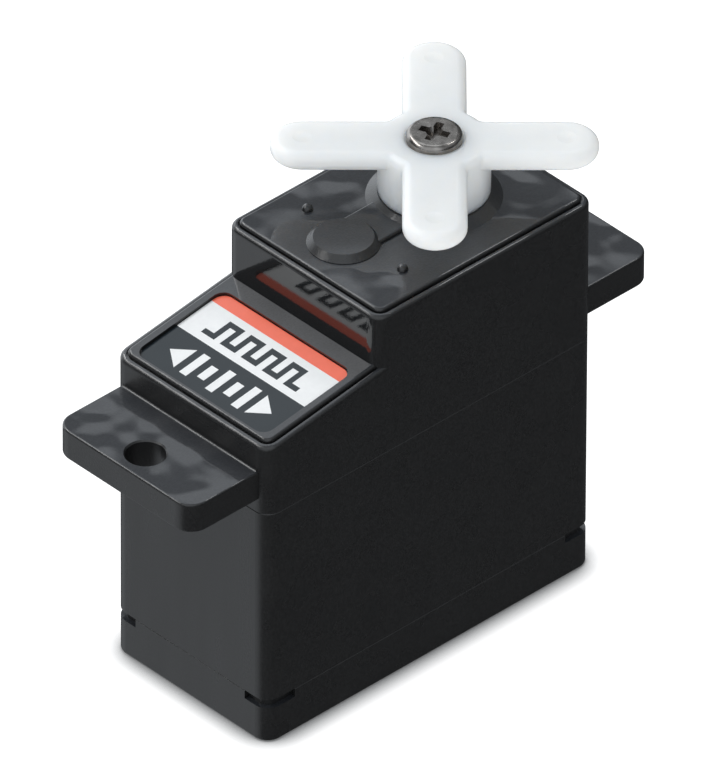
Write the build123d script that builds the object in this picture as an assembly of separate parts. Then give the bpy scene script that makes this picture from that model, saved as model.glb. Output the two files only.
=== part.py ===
"""Micro servo motor with a cross horn, modelled piece by piece, in millimetres.

Origin: centre of the case's bottom face. +Z is up along the output shaft, +X runs along the long
side towards the output end, and the label ledge is at the -X end.
"""

from build123d import *
import math
import os

# ---- case envelope -------------------------------------------------------------------------
CASE_L = 22.8
CASE_W = 11.4
CORNER_R = 0.9
MIN_CORNER_R = 0.2
COVER_TOP = 2.65
SPLIT_Z = 14.4
RIM_Z = 22.9
PANEL_RAISE = 0.2
WALL = 0.7
FLOOR = 0.8

# ---- label ledge at the -X end -------------------------------------------------------------
STEP_X = -3.7
STEP_WALL = 0.55
LEDGE_FRONT_Z = 18.55
LEDGE_BACK_Z = 19.65
LEDGE_SKIN = 1.0
LABEL_X0 = -10.75
LABEL_X1 = -4.6
LABEL_HALF_W = 4.8
LABEL_R = 0.65
LABEL_DEPTH = 0.24
LABEL_T = 0.06
LABEL_GAP = 0.04

# ---- raised panel, its groove and the rounded rim around it --------------------------------
RIM_W = 0.3
GROOVE_W = 0.1
GROOVE_D = 0.15
RIM_R = 0.25
PANEL_EDGE_R = 0.18

# ---- mounting ears -------------------------------------------------------------------------
EAR_TIP = 16.1
EAR_Z0 = 15.25
EAR_Z1 = 17.0
EAR_HALF_W = 5.05
EAR_CORNER_R = 1.1
EAR_EDGE_R = 0.12
EAR_ROOT_R = 0.15
EAR_HOLE_X = 14.45
EAR_HOLE_R = 1.05

SEAM_BEVEL = 0.03
HOLE_BEVEL = 0.08
FOOT_EDGE_R = 0.2

# ---- register lips, corner notches, case screws --------------------------------------------
LIP_H = 0.5
LIP_GAP = 0.05
LIP_INSET = 0.35
LIP_POST_GAP = 0.1
NOTCH_H = 0.5
NOTCH_DEPTH = 0.3
NOTCH_X = 9.45
NOTCH_Y = 4.05
SCREW_X = 9.9
SCREW_Y = 4.2
POST_R = 1.0
POST_FOOT_R = 1.35
POST_FOOT_Z = 1.3
POST_CAP = 0.8
SCREW_R = 0.5
SCREW_HEAD_R = 0.9
SCREW_HEAD_H = 0.55
SCREW_HEAD_EDGE_R = 0.15
SCREW_HEAD_GAP = 0.1
SCREW_SINK = 0.1
CASE_CROSS = (0.35, 1.1, 0.3)
RECESS_TAPER = 14
SCREW_TIP_Z = 17.3
SCREW_CLEAR_R = 0.65
SCREW_PILOT_R = 0.52
SCREW_END_GAP = 0.2

# ---- gear train ----------------------------------------------------------------------------
OUTPUT_X = 5.5
PIN_X = -0.8
MOTOR_X = -5.6
PRESSURE = math.radians(25)
BACKLASH = 0.035
ADDENDUM = 0.9
DEDENDUM = 1.15
FINE = 0.2
COARSE = 0.3
FLANK_STEPS = 3
PINION_T = 10
FIRST_WHEEL_T = 38
MID_PINION_T = 16
MID_WHEEL_T = 47
LAST_PINION_T = 12
OUTPUT_T = 30
PIN_R = 0.5
PIN_BORE_R = 0.54
PIN_END_GAP = 0.1
PIN_BOSS_R = 1.0
PIN_BOSS_H = 0.3
PRESS_GAP = 0.01
DECK_Z0 = 12.4
DECK_Z1 = 13.4
PIN_FOOT_Z = 12.7
PIN_TOP_Z = 22.7
CEILING_Z = 22.1
BAY_X0 = -1.5
GEAR_POST_R = 1.6
GEAR_POST_TOP_Z = 14.9
PINION_Z = (13.8, 15.2)
FIRST_Z = (13.9, 14.9, 16.3)
SECOND_Z = (15.1, 16.1, 17.6)
THIRD_Z = (16.5, 17.5, 20.0)
WEB_DEPTH = 0.3
FIRST_WEB_R = (3.1, 1.9)
SECOND_WEB_R = (4.0, 2.2)
THIRD_WEB_R = (4.0, 2.4)

# ---- output shaft, bushing, horn -----------------------------------------------------------
GEAR_Z0 = 17.9
GEAR_Z1 = 20.2
SHOULDER_R = 2.8
SHOULDER_GAP = 0.1
STOP_R = (4.7, 3.85)
STOP_GAP = 0.3
STOP_ANGLE = 75
STOP_REACH = 12
LUG_R = (4.6, 3.9)
LUG_HALF_W = 0.9
LUG_X = (-5, -3)
LUG_TOP_Z = 21.3
SHAFT_SOCKET_Z = 20.0
SCREW_HOLE_Z = 21.5
JOURNAL_R = 2.25
JOURNAL_TOP_Z = 23.5
BUSH_BORE_R = 2.29
BUSH_R = 2.95
BUSH_HUB_R = 3.6
BUSH_Z0 = 21.0
BUSH_Z1 = 22.5
BUSH_LIP_R = 2.4
RING_R = 3.5
RING_TOP_R = 2.9
ARM_RAISE = 0.2
ARM_HALF_W = 1.4
BOSS_RAISE = 0.38
ARM_EDGE_R = 0.19
BOSS_X = -0.6
BOSS_Y = 0.2
BOSS_R = 1.9
BOSS_BEVEL = 0.34
PIP_Y = 3.5
PIP_R = 0.3
SPLINE_T = 24
SPLINE_R = 1.95
SPLINE_DEPTH = 0.16
SPLINE_TOP_Z = 25.8
SPLINE_FIT = 0.03
SOCKET_TOP_Z = 25.9
HORN_TOP_Z = 26.75
HORN_T = 1.1
HORN_HUB_Z0 = 23.6
HORN_HUB_R = 2.88
HORN_ARM_W = 3.3
HORN_SPANS = (16.66, 17.0)
HORN_ANGLE = -43.2
HORN_EDGE_R = 0.48
HORN_ROOT_R = 0.35
DIMPLE_R = 0.5
DIMPLE_DEPTH = 0.05
HORN_SCREW_R = 0.9
HORN_SCREW_GAP = 0.1
HORN_SCREW_FOOT_Z = 22.0
THREAD_GAP = 0.02
HORN_CROSS = (0.42, 1.6, 0.44)
HORN_HEAD_R = 1.45
HORN_HEAD_EDGE_R = 0.28
HORN_HEAD_TOP_Z = 27.1
HORN_SEAT_R = 1.55
HORN_CROSS_ANGLE = 24
HORN_SEAT_Z = 26.6

# ---- motor ---------------------------------------------------------------------------------
MOTOR_R = 5.0
MOTOR_FLAT = 4.85
CAN_Z0 = 2.7
CAN_Z1 = 12.3
CAN_T = 0.35
NOSE_R = 1.5
NOSE_TOP_Z = 12.8
MOTOR_GAP = 0.1
MOTOR_FLAT_GAP = 0.05
BEARING_R = 0.9
SHAFT_R = 0.4
SHAFT_GAP = 0.03
SHAFT_Z = (1.95, 15.3)
BELL_Z0 = 1.5
BELL_SPIGOT_H = 0.4
BELL_SPIGOT_GAP = 0.05
BELL_BORE_Z0 = 1.9
TAB_Y = 1.3
TAB_SLOT_HALF_W = 0.1
TAB_SLOT_X = (2.5, 3.2)
BRUSH_Y = (1.22, 1.34)
BRUSH_X = (-0.8, 2.6, 3.1)
BRUSH_Z = (1.0, 3.5, 4.2)
MAGNET_R = (4.6, 3.7)
MAGNET_Z = (4.4, 11.2)
MAGNET_GAP = 1.6
MAGNET_HALF_W = 3.7
CORE_R = 1.2
CORE_Z = (5.4, 10.2)
SHOE_R = (3.4, 2.8)
SHOE_WEDGE = (5, 3.9)
TOOTH_X = 1.9
TOOTH_SIZE = (2.4, 1.1)
COIL_X = 2.0
COIL_SIZE = (1.2, 2.1)
COIL_END = 0.5
SLEEVE_R = 0.7
SLEEVE_Z = (3.3, 4.7)
COMMUTATOR_R = 1.1
COMMUTATOR_TOP_Z = 4.6
COMMUTATOR_SLIT = 0.14
POLES = 3

# ---- potentiometer and electronics ---------------------------------------------------------
POT_R = 4.3
POT_Z0 = 8.9
POT_Z1 = 12.3
POT_NOSE_R = 2.0
POT_NOSE_TOP_Z = 13.0
POT_SHAFT_R = 0.75
POT_FLAT = 0.5
POT_WALL = 0.5
POT_ROOF = 0.6
POT_BORE_GAP = 0.04
POT_SEAT_GAP = 0.05
POT_SHAFT_GAP = 0.1
TRACK_GAP = 0.03
TRACK_T = 0.4
POT_PIN_X = (2.6, 2.8)
POT_PIN_Y = (-2.0, 0.0, 2.0)
POT_PIN_HALF_W = 0.35
POT_SHAFT_Z = (9.7, 17.8, 19.9)
WIPER_R = 1.4
WIPER_Z = (9.4, 9.8, 10.0, 10.4)
WIPER_X = (-3.1, -2.8, -1.1)
WIPER_HALF_W = 0.4
BOARD_X0 = -0.3
BOARD_END_GAP = 0.3
BOARD_HALF_W = 4.8
BOARD_POST_GAP = 0.15
BOARD_Z0 = 4.2
BOARD_Z1 = 5.0
CHIP_X = (0.6, 5.6)
CHIP_HALF_W = 2.5
CHIP_Z = (0.15, 1.05)
CHIP_LEADS = 7
CHIP_LEAD_PITCH = 0.7
CHIP_LEAD_HALF_W = 0.15
CHIP_LEAD_REACH = 0.5
CHIP_LEAD_T = 0.3
TOP_SPOTS = [(1.2, 3.6, 1.6, 0.8, 0.8), (3.4, 3.6, 1.0, 0.5, 0.5), (5.2, 3.6, 1.0, 0.5, 0.5),
             (1.2, -3.6, 1.0, 0.5, 0.5), (3.0, -3.6, 1.0, 0.5, 0.5), (5.6, -3.8, 2.0, 1.2, 1.6)]
UNDER_SPOTS = [(2.2, 2.2, 2.8, 2.8, 1.1), (2.2, -2.2, 2.8, 2.8, 1.1), (6.2, 0.0, 3.0, 1.6, 1.4)]
LEAD_Y = 1.28
LEAD_Z = 1.1
LEAD_X = 0.3
LEAD_R = 0.25
LEAD_BEND_R = 0.6
CABLE_SLOT_W = 3.8
CABLE_SLOT_TOP = 3.9
CABLE_SLOT_INNER = 0.5
GLAND_GAP = 0.03
GLAND_FOOT_GAP = 0.02
GLAND_FLANGE_T = 0.4
GLAND_FLANGE_HALF_W = 2.5
GLAND_FLANGE_Z0 = 1.7
GLAND_BOARD_GAP = 0.1
RIBBON_HALF_W = 1.7
RIBBON_Z = (2.75, 3.6)

# ---- how far cutters run past the faces they cut, and how closely edges are matched ---------
OVER = 1.0
TOLERANCE = 1e-4
CENTRED_UP = (Align.CENTER, Align.CENTER, Align.MIN)
SCREW_SPOTS = [(sx * SCREW_X, sy * SCREW_Y) for sx in (-1, 1) for sy in (-1, 1)]


# ---- basic solids --------------------------------------------------------------------------
def block(x0, x1, y0, y1, z0, z1):
    size = Box(x1 - x0, y1 - y0, z1 - z0, align=CENTRED_UP)
    return Pos((x0 + x1) / 2, (y0 + y1) / 2, z0) * size


def rod(x, y, radius, z0, z1):
    return Pos(x, y, z0) * Cylinder(radius, z1 - z0, align=CENTRED_UP)


def tube(x, y, outer, inner, z0, z1):
    return rod(x, y, outer, z0, z1) - rod(x, y, inner, z0, z1)


def rounded(x0, x1, half_w, z0, z1, radius):
    """Upright block, symmetric in Y, with its four vertical edges rounded."""
    outline = RectangleRounded(x1 - x0, 2 * half_w, radius)
    return Pos((x0 + x1) / 2, 0, z0) * extrude(outline, amount=z1 - z0)


def case_prism(inset, z0, z1):
    """The case's plan outline moved in by inset, extruded from z0 to z1."""
    half_l = CASE_L / 2 - inset
    return rounded(-half_l, half_l, CASE_W / 2 - inset, z0, z1, max(CORNER_R - inset, MIN_CORNER_R))


def rim_bevelled(body, z, size):
    """body with a small bevel on its outer edges at height z."""
    return chamfer([e for e in body.edges() if abs(e.bounding_box().max.Z - z) < TOLERANCE
                    and abs(e.bounding_box().min.Z - z) < TOLERANCE], size)


def at_screws(radius, z0, z1):
    posts = Part()
    for x, y in SCREW_SPOTS:
        posts += rod(x, y, radius, z0, z1)
    return posts


def phillips(depth, length, width):
    """The tapered cross recess of a screw head that faces up, its mouth at z = 0."""
    slot = extrude(Rectangle(length, width), amount=-depth, taper=RECESS_TAPER)
    core = Cone(width / 2, width, depth, align=(Align.CENTER, Align.CENTER, Align.MAX))
    return slot + Rot(0, 0, 90) * slot + core


# ---- gears ---------------------------------------------------------------------------------
def gear(teeth, module, first_tooth_deg, x, z0, z1):
    """Involute spur gear, one tooth centred on first_tooth_deg, thinned for backlash."""
    pitch_r = module * teeth / 2
    base_r = pitch_r * math.cos(PRESSURE)
    tip_r = pitch_r + ADDENDUM * module
    root_r = pitch_r - DEDENDUM * module
    half_tooth = (math.pi * module / 2 - BACKLASH) / (2 * pitch_r)
    flank_start = max(base_r, root_r)

    def half_angle(radius):
        tilt = math.acos(min(1.0, base_r / radius))
        return half_tooth + math.tan(PRESSURE) - PRESSURE - math.tan(tilt) + tilt

    rise = (tip_r - flank_start) / FLANK_STEPS
    radii = [flank_start + rise * k for k in range(FLANK_STEPS + 1)]
    flank = [(root_r, half_angle(flank_start))] + [(r, half_angle(r)) for r in radii]
    if root_r >= base_r:
        flank = flank[1:]
    points = []
    for tooth in range(teeth):
        centre = math.radians(first_tooth_deg) + 2 * math.pi * tooth / teeth
        rising = [(r, centre - a) for r, a in flank]
        falling = [(r, centre + a) for r, a in reversed(flank)]
        points += [(r * math.cos(a), r * math.sin(a)) for r, a in rising + falling]
    outline = make_face(Polyline(*points, close=True))
    return Pos(x, 0, z0) * extrude(outline, amount=z1 - z0)


def spline_prism(radius, depth, z0, z1):
    """Output spline: a star of V-shaped teeth."""
    points = []
    for k in range(2 * SPLINE_T):
        r = radius - depth * (k % 2)
        a = math.pi * k / SPLINE_T
        points.append((r * math.cos(a), r * math.sin(a)))
    star = make_face(Polyline(*points, close=True))
    return Pos(OUTPUT_X, 0, z0) * extrude(star, amount=z1 - z0)


# ---- case ----------------------------------------------------------------------------------
def ledge_frame():
    """Frame on the label ledge: local X runs up the slope from the case's front edge."""
    run = STEP_X + CASE_L / 2
    slope = math.degrees(math.atan2(LEDGE_BACK_Z - LEDGE_FRONT_Z, run))
    return Pos(-CASE_L / 2, 0, LEDGE_FRONT_Z) * Rot(0, -slope, 0), math.radians(slope)


def edged_panel(x0, x1, half_w, radius):
    """Raised panel with a rounded top edge, its underside at local z = 0."""
    panel = rounded(x0, x1, half_w, -GROOVE_D, PANEL_RAISE, radius)
    return fillet(panel.faces().sort_by(Axis.Z)[-1].edges(), PANEL_EDGE_R)


def upper_block():
    half_l, half_w = CASE_L / 2, CASE_W / 2
    body = rounded(STEP_X, half_l, half_w, SPLIT_Z, RIM_Z, CORNER_R)
    body = fillet(body.faces().sort_by(Axis.Z)[-1].edges(), RIM_R)
    inset = RIM_W + GROOVE_W
    moat = rounded(STEP_X + RIM_W, half_l - RIM_W, half_w - RIM_W,
                   RIM_Z - GROOVE_D, RIM_Z + OVER, CORNER_R - RIM_W)
    panel = edged_panel(STEP_X + inset, half_l - inset, half_w - inset, CORNER_R - inset)
    return body - moat + Pos(0, 0, RIM_Z) * panel


def ledge_block():
    half_w = CASE_W / 2
    frame, slope = ledge_frame()
    reach = (STEP_X + CORNER_R + CASE_L / 2) / math.cos(slope)
    body = rounded(-CASE_L / 2, STEP_X + 2 * CORNER_R + OVER, half_w, SPLIT_Z, RIM_Z, CORNER_R)
    body -= frame * block(-OVER, 3 * reach, -CASE_W, CASE_W, 0, RIM_Z)
    body -= block(STEP_X + CORNER_R, 0, -CASE_W, CASE_W, SPLIT_Z - OVER, RIM_Z)
    top = body.faces().filter_by(lambda f: abs(f.normal_at().Z - math.cos(slope)) < TOLERANCE)[0]
    rim_edges = [e for e in top.edges() if e.center().X < STEP_X + CORNER_R - TOLERANCE]
    body = fillet(rim_edges, RIM_R)
    inset = RIM_W + GROOVE_W
    moat = rounded(RIM_W, reach + OVER, half_w - RIM_W, -GROOVE_D, OVER, CORNER_R - RIM_W)
    panel = edged_panel(inset, reach + OVER, half_w - inset, CORNER_R - inset)
    body -= frame * moat
    body += frame * panel
    return body - block(STEP_X + CORNER_R, OVER, -CASE_W, CASE_W, SPLIT_Z - OVER, RIM_Z + OVER)


def label_prism(shrink, z0, z1):
    """The label's plan outline on the ledge, between two heights over the panel's underside."""
    frame, slope = ledge_frame()
    x0 = (LABEL_X0 + CASE_L / 2) / math.cos(slope) + shrink
    x1 = (LABEL_X1 + CASE_L / 2) / math.cos(slope) - shrink
    return frame * rounded(x0, x1, LABEL_HALF_W - shrink, z0, z1, LABEL_R)


def ears():
    plate = rounded(-EAR_TIP, EAR_TIP, EAR_HALF_W, EAR_Z0, EAR_Z1, EAR_CORNER_R)
    flats = plate.faces().sort_by(Axis.Z)
    plate = fillet(flats[0].edges() + flats[-1].edges(), EAR_EDGE_R)
    for side in (-1, 1):
        plate -= rod(side * EAR_HOLE_X, 0, EAR_HOLE_R, EAR_Z0 - OVER, EAR_Z1 + OVER)
    mouths = plate.edges().filter_by(GeomType.CIRCLE)
    return chamfer([e for e in mouths if abs(e.radius - EAR_HOLE_R) < TOLERANCE], HOLE_BEVEL)


def ear_roots():
    """Fillets where the ears' top faces meet the end walls, as one bar through the case."""
    half_l, half_w = CASE_L / 2 + EAR_ROOT_R, EAR_HALF_W - EAR_EDGE_R
    z1 = EAR_Z1 + EAR_ROOT_R
    bar = block(-half_l, half_l, -half_w, half_w, EAR_Z1 - EAR_ROOT_R, z1)
    for side in (-1, 1):
        bar -= Pos(side * half_l, 0, z1) * Rot(90, 0, 0) * Cylinder(EAR_ROOT_R, CASE_W)
    return bar


def gear_chamber():
    """The hollow of the top case, with the corner posts left standing."""
    half_l, half_w = CASE_L / 2 - WALL, CASE_W / 2 - WALL
    frame, _ = ledge_frame()
    low = block(-half_l, half_l, -half_w, half_w, SPLIT_Z - OVER, CEILING_Z)
    low -= frame * Pos(0, 0, -LEDGE_SKIN) * block(-OVER, CASE_L, -CASE_W, CASE_W, 0, CASE_W)
    high = block(STEP_X + STEP_WALL, half_l, -half_w, half_w, SPLIT_Z - OVER, CEILING_Z)
    return low + high - at_screws(POST_R, SPLIT_Z - OVER, SCREW_TIP_Z + POST_CAP)


def register_lip(z0, z1):
    """Thin ring that locates one case part inside the next, open at the posts."""
    ring = case_prism(LIP_INSET, z0, z1) - case_prism(WALL, z0, z1)
    return ring - at_screws(POST_R + 2 * LIP_POST_GAP, z0 - OVER, z1 + OVER)


def lip_recess(z0, z1):
    recess = case_prism(LIP_INSET - LIP_GAP, z0, z1)
    return recess - at_screws(POST_R + LIP_POST_GAP, z0 - OVER, z1 + OVER)


def travel_stop():
    """Rib under the ceiling that the output gear's lug meets at both ends of its travel."""
    ring = tube(OUTPUT_X, 0, *STOP_R, GEAR_Z1 + STOP_GAP, CEILING_Z)
    far = STOP_REACH * math.tan(math.radians(STOP_ANGLE - 90))
    corners = [(0, 0), (-far, STOP_REACH), (STOP_REACH, STOP_REACH), (STOP_REACH, -STOP_REACH),
               (-far, -STOP_REACH)]
    keep = make_face(Polyline(*corners, close=True))
    return ring & (Pos(OUTPUT_X, 0, GEAR_Z1) * extrude(keep, amount=CEILING_Z - GEAR_Z1))


def output_ring_and_boss():
    """Tapered ring around the output shaft, with a low arm out to the round boss over the gear pin."""
    z0 = RIM_Z
    panel_z = z0 + PANEL_RAISE
    arm = block(BOSS_X, OUTPUT_X, BOSS_Y - ARM_HALF_W, BOSS_Y + ARM_HALF_W, z0, panel_z + ARM_RAISE)
    arm = fillet(arm.faces().sort_by(Axis.Z)[-1].edges(), ARM_EDGE_R)
    boss = rod(BOSS_X, BOSS_Y, BOSS_R, z0, panel_z + BOSS_RAISE)
    boss = chamfer(boss.faces().sort_by(Axis.Z)[-1].edges(), BOSS_BEVEL)
    ring = rod(OUTPUT_X, 0, RING_R, z0, panel_z)
    ring += Pos(OUTPUT_X, 0, panel_z + BOSS_RAISE / 2) * Cone(RING_R, RING_TOP_R, BOSS_RAISE)
    return ring + arm + boss


def top_case():
    body = rim_bevelled(upper_block() + ledge_block(), SPLIT_Z, SEAM_BEVEL)
    body = body + ears() + ear_roots() - gear_chamber()
    body += register_lip(SPLIT_Z - LIP_H, SPLIT_Z)
    body += output_ring_and_boss()
    body += tube(OUTPUT_X, 0, BUSH_HUB_R, BUSH_R, BUSH_Z0, CEILING_Z)
    body += rod(PIN_X, 0, PIN_BOSS_R, GEAR_Z1, CEILING_Z)
    body += travel_stop()
    for side in (-1, 1):
        body += Pos(0, side * PIP_Y, RIM_Z + PANEL_RAISE) * Sphere(PIP_R)
    body -= rod(OUTPUT_X, 0, BUSH_R, BUSH_Z0 - OVER, BUSH_Z1)
    body -= rod(OUTPUT_X, 0, BUSH_LIP_R, BUSH_Z0 - OVER, HORN_HUB_Z0)
    body -= rod(PIN_X, 0, PIN_R + PRESS_GAP, GEAR_Z1 - OVER, PIN_TOP_Z)
    body -= at_screws(SCREW_PILOT_R, SPLIT_Z - OVER, SCREW_TIP_Z + SCREW_END_GAP)
    return body - label_prism(0, PANEL_RAISE - LABEL_DEPTH, OVER)


def label_plate():
    floor = PANEL_RAISE - LABEL_DEPTH
    return label_prism(LABEL_GAP, floor, floor + LABEL_T)


def motor_profile(radius, flat, z0, z1):
    """Round with two flats, the section of the motor's can."""
    return rod(MOTOR_X, 0, radius, z0, z1) & block(
        MOTOR_X - 2 * radius, MOTOR_X + 2 * radius, -flat, flat, z0, z1)


def middle_case():
    half_l, half_w = CASE_L / 2 - WALL, CASE_W / 2 - WALL
    body = rim_bevelled(case_prism(0, COVER_TOP, SPLIT_Z), COVER_TOP, SEAM_BEVEL)
    body = rim_bevelled(body, SPLIT_Z, SEAM_BEVEL)
    bay = block(BAY_X0, half_l, -half_w, half_w, COVER_TOP - OVER, DECK_Z0)
    bay += motor_profile(MOTOR_R + MOTOR_GAP, MOTOR_FLAT + MOTOR_FLAT_GAP, COVER_TOP - OVER, DECK_Z0)
    well = block(-half_l, half_l, -half_w, half_w, DECK_Z1, SPLIT_Z + OVER)
    posts = at_screws(POST_R, COVER_TOP - OVER, SPLIT_Z + OVER)
    body -= bay + well - posts
    body -= lip_recess(COVER_TOP - OVER, COVER_TOP + LIP_H + LIP_GAP)
    body -= lip_recess(SPLIT_Z - LIP_H - LIP_GAP, SPLIT_Z + OVER)
    body += rod(PIN_X, 0, PIN_BOSS_R, DECK_Z1, DECK_Z1 + PIN_BOSS_H)
    body += rod(OUTPUT_X, 0, GEAR_POST_R, DECK_Z1, GEAR_POST_TOP_Z)
    body -= rod(PIN_X, 0, PIN_R + PRESS_GAP, PIN_FOOT_Z, SPLIT_Z)
    body -= rod(OUTPUT_X, 0, POT_SHAFT_R + POT_SHAFT_GAP, DECK_Z0 - OVER, SPLIT_Z + OVER)
    body -= rod(OUTPUT_X, 0, POT_NOSE_R + POT_SEAT_GAP, DECK_Z0 - OVER, POT_NOSE_TOP_Z + POT_SEAT_GAP)
    body -= rod(MOTOR_X, 0, NOSE_R + MOTOR_GAP, DECK_Z0 - OVER, SPLIT_Z)
    body -= at_screws(SCREW_CLEAR_R, COVER_TOP - OVER, SPLIT_Z + OVER)
    half_slot = CABLE_SLOT_W / 2
    slot = block(half_l - CABLE_SLOT_INNER, CASE_L, -half_slot, half_slot,
                 COVER_TOP - OVER, CABLE_SLOT_TOP)
    return body - slot


def corner_notches():
    """Pry slots that wrap the four corners just under the cover's top edge."""
    z0 = COVER_TOP - NOTCH_H
    half_l, half_w = CASE_L / 2 + OVER, CASE_W / 2 + OVER
    corners = Part()
    for sx in (-1, 1):
        for sy in (-1, 1):
            xs = sorted((sx * NOTCH_X, sx * half_l))
            ys = sorted((sy * NOTCH_Y, sy * half_w))
            corners += block(xs[0], xs[1], ys[0], ys[1], z0, COVER_TOP)
    return corners - case_prism(NOTCH_DEPTH, z0 - OVER, COVER_TOP + OVER)


def bottom_cover():
    half_l, half_w = CASE_L / 2 - WALL, CASE_W / 2 - WALL
    body = case_prism(0, 0, COVER_TOP)
    body = fillet(body.faces().sort_by(Axis.Z)[0].edges(), FOOT_EDGE_R)
    body = rim_bevelled(body, COVER_TOP, SEAM_BEVEL)
    hollow = block(-half_l, half_l, -half_w, half_w, FLOOR, COVER_TOP + OVER)
    posts = at_screws(POST_R, FLOOR, COVER_TOP + OVER) + at_screws(POST_FOOT_R, FLOOR, POST_FOOT_Z)
    body -= hollow - posts
    half_slot = CABLE_SLOT_W / 2
    gap = block(0, CASE_L, -half_slot, half_slot, COVER_TOP, COVER_TOP + OVER)
    body += register_lip(COVER_TOP, COVER_TOP + LIP_H) - gap
    body -= corner_notches()
    body -= at_screws(SCREW_CLEAR_R, -OVER, COVER_TOP + OVER)
    return body - at_screws(SCREW_HEAD_R + SCREW_HEAD_GAP, -OVER, SCREW_HEAD_H + SCREW_SINK)


def case_screws():
    screws = Part()
    for x, y in SCREW_SPOTS:
        head = rod(x, y, SCREW_HEAD_R, SCREW_SINK, SCREW_SINK + SCREW_HEAD_H)
        screw = fillet(head.faces().sort_by(Axis.Z)[0].edges(), SCREW_HEAD_EDGE_R)
        screw += rod(x, y, SCREW_R, SCREW_HEAD_H, SCREW_TIP_Z)
        screw -= Pos(x, y, SCREW_SINK) * Rot(180, 0, 0) * phillips(*CASE_CROSS)
        screws += screw
    return screws


def cable_gland():
    """Rubber gland in the cable slot of the +X wall, with a passage for a three-wire ribbon."""
    wall_x = CASE_L / 2 - WALL
    half = CABLE_SLOT_W / 2 - GLAND_GAP
    body = block(wall_x, CASE_L / 2, -half, half,
                 COVER_TOP + GLAND_FOOT_GAP, CABLE_SLOT_TOP - GLAND_GAP)
    body += block(wall_x - GLAND_FLANGE_T, wall_x, -GLAND_FLANGE_HALF_W, GLAND_FLANGE_HALF_W,
                  GLAND_FLANGE_Z0, BOARD_Z0 - GLAND_BOARD_GAP)
    return body - block(wall_x - OVER, CASE_L, -RIBBON_HALF_W, RIBBON_HALF_W, *RIBBON_Z)


# ---- motor ---------------------------------------------------------------------------------
def motor_can():
    shell = motor_profile(MOTOR_R, MOTOR_FLAT, CAN_Z0, CAN_Z1)
    shell -= motor_profile(MOTOR_R - CAN_T, MOTOR_FLAT - CAN_T, CAN_Z0 - OVER, CAN_Z1 - CAN_T)
    shell += rod(MOTOR_X, 0, NOSE_R, CAN_Z1 - CAN_T, NOSE_TOP_Z)
    return shell - rod(MOTOR_X, 0, BEARING_R, CAN_Z1 - OVER, NOSE_TOP_Z + OVER)


def motor_bearing():
    return tube(MOTOR_X, 0, BEARING_R, SHAFT_R + SHAFT_GAP, CAN_Z1 - CAN_T, NOSE_TOP_Z)


def motor_end_bell():
    inset = CAN_T + BELL_SPIGOT_GAP
    bell = motor_profile(MOTOR_R, MOTOR_FLAT, BELL_Z0, CAN_Z0)
    bell += motor_profile(MOTOR_R - inset, MOTOR_FLAT - inset, CAN_Z0, CAN_Z0 + BELL_SPIGOT_H)
    bell -= rod(MOTOR_X, 0, SHAFT_R + SHAFT_GAP, BELL_BORE_Z0, CAN_Z1)
    x0, x1 = TAB_SLOT_X
    for y in (-TAB_Y, TAB_Y):
        bell -= block(MOTOR_X + x0, MOTOR_X + x1, y - TAB_SLOT_HALF_W, y + TAB_SLOT_HALF_W,
                      BELL_Z0 - OVER, CAN_Z1)
    return bell


def motor_terminals():
    """Two sprung brush arms whose feet come out under the end bell as solder tabs."""
    arms = Part()
    for side in (-1, 1):
        y0, y1 = sorted(side * y for y in BRUSH_Y)
        arms += block(MOTOR_X + BRUSH_X[0], MOTOR_X + BRUSH_X[2], y0, y1, *BRUSH_Z[1:])
        arms += block(MOTOR_X + BRUSH_X[1], MOTOR_X + BRUSH_X[2], y0, y1, *BRUSH_Z[:2])
    return arms


def motor_magnets():
    ring = tube(MOTOR_X, 0, *MAGNET_R, *MAGNET_Z)
    arcs = Part()
    for side in (-1, 1):
        x0, x1 = sorted((MOTOR_X + side * MAGNET_GAP, MOTOR_X + side * MOTOR_R))
        arcs += ring & block(x0, x1, -MAGNET_HALF_W, MAGNET_HALF_W, *MAGNET_Z)
    return arcs


def motor_shaft():
    return rod(MOTOR_X, 0, SHAFT_R, *SHAFT_Z)


def armature_core():
    core = rod(MOTOR_X, 0, CORE_R, *CORE_Z)
    shoes = tube(MOTOR_X, 0, *SHOE_R, *CORE_Z)
    reach, spread = SHOE_WEDGE
    wedge = make_face(Polyline((0, 0), (reach, spread), (reach, -spread), close=True))
    height = CORE_Z[1] - CORE_Z[0]
    for k in range(POLES):
        turn = Pos(MOTOR_X, 0, CORE_Z[0]) * Rot(0, 0, 360 / POLES * k)
        core += turn * Pos(TOOTH_X, 0, 0) * Box(*TOOTH_SIZE, height, align=CENTRED_UP)
        core += shoes & (turn * extrude(wedge, amount=height))
    return core - rod(MOTOR_X, 0, SHAFT_R, CORE_Z[0] - OVER, CORE_Z[1] + OVER)


def armature_windings():
    coils = Part()
    height = CORE_Z[1] - CORE_Z[0]
    for k in range(POLES):
        turn = Pos(MOTOR_X, 0, CORE_Z[0] - COIL_END) * Rot(0, 0, 360 / POLES * k)
        coil = Pos(COIL_X, 0, 0) * Box(*COIL_SIZE, height + 2 * COIL_END, align=CENTRED_UP)
        coil -= Pos(COIL_X, 0, COIL_END) * Box(MOTOR_R, TOOTH_SIZE[1], height, align=CENTRED_UP)
        coils += turn * coil
    return coils


def commutator_sleeve():
    return tube(MOTOR_X, 0, SLEEVE_R, SHAFT_R, *SLEEVE_Z)


def commutator():
    segments = tube(MOTOR_X, 0, COMMUTATOR_R, SLEEVE_R, SLEEVE_Z[0], COMMUTATOR_TOP_Z)
    half_slit = COMMUTATOR_SLIT / 2
    slit = block(0, 2 * COMMUTATOR_R, -half_slit, half_slit, SLEEVE_Z[0], COMMUTATOR_TOP_Z)
    for k in range(POLES):
        segments -= Pos(MOTOR_X, 0, 0) * Rot(0, 0, 360 / POLES * (k + 0.5)) * slit
    return segments


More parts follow.
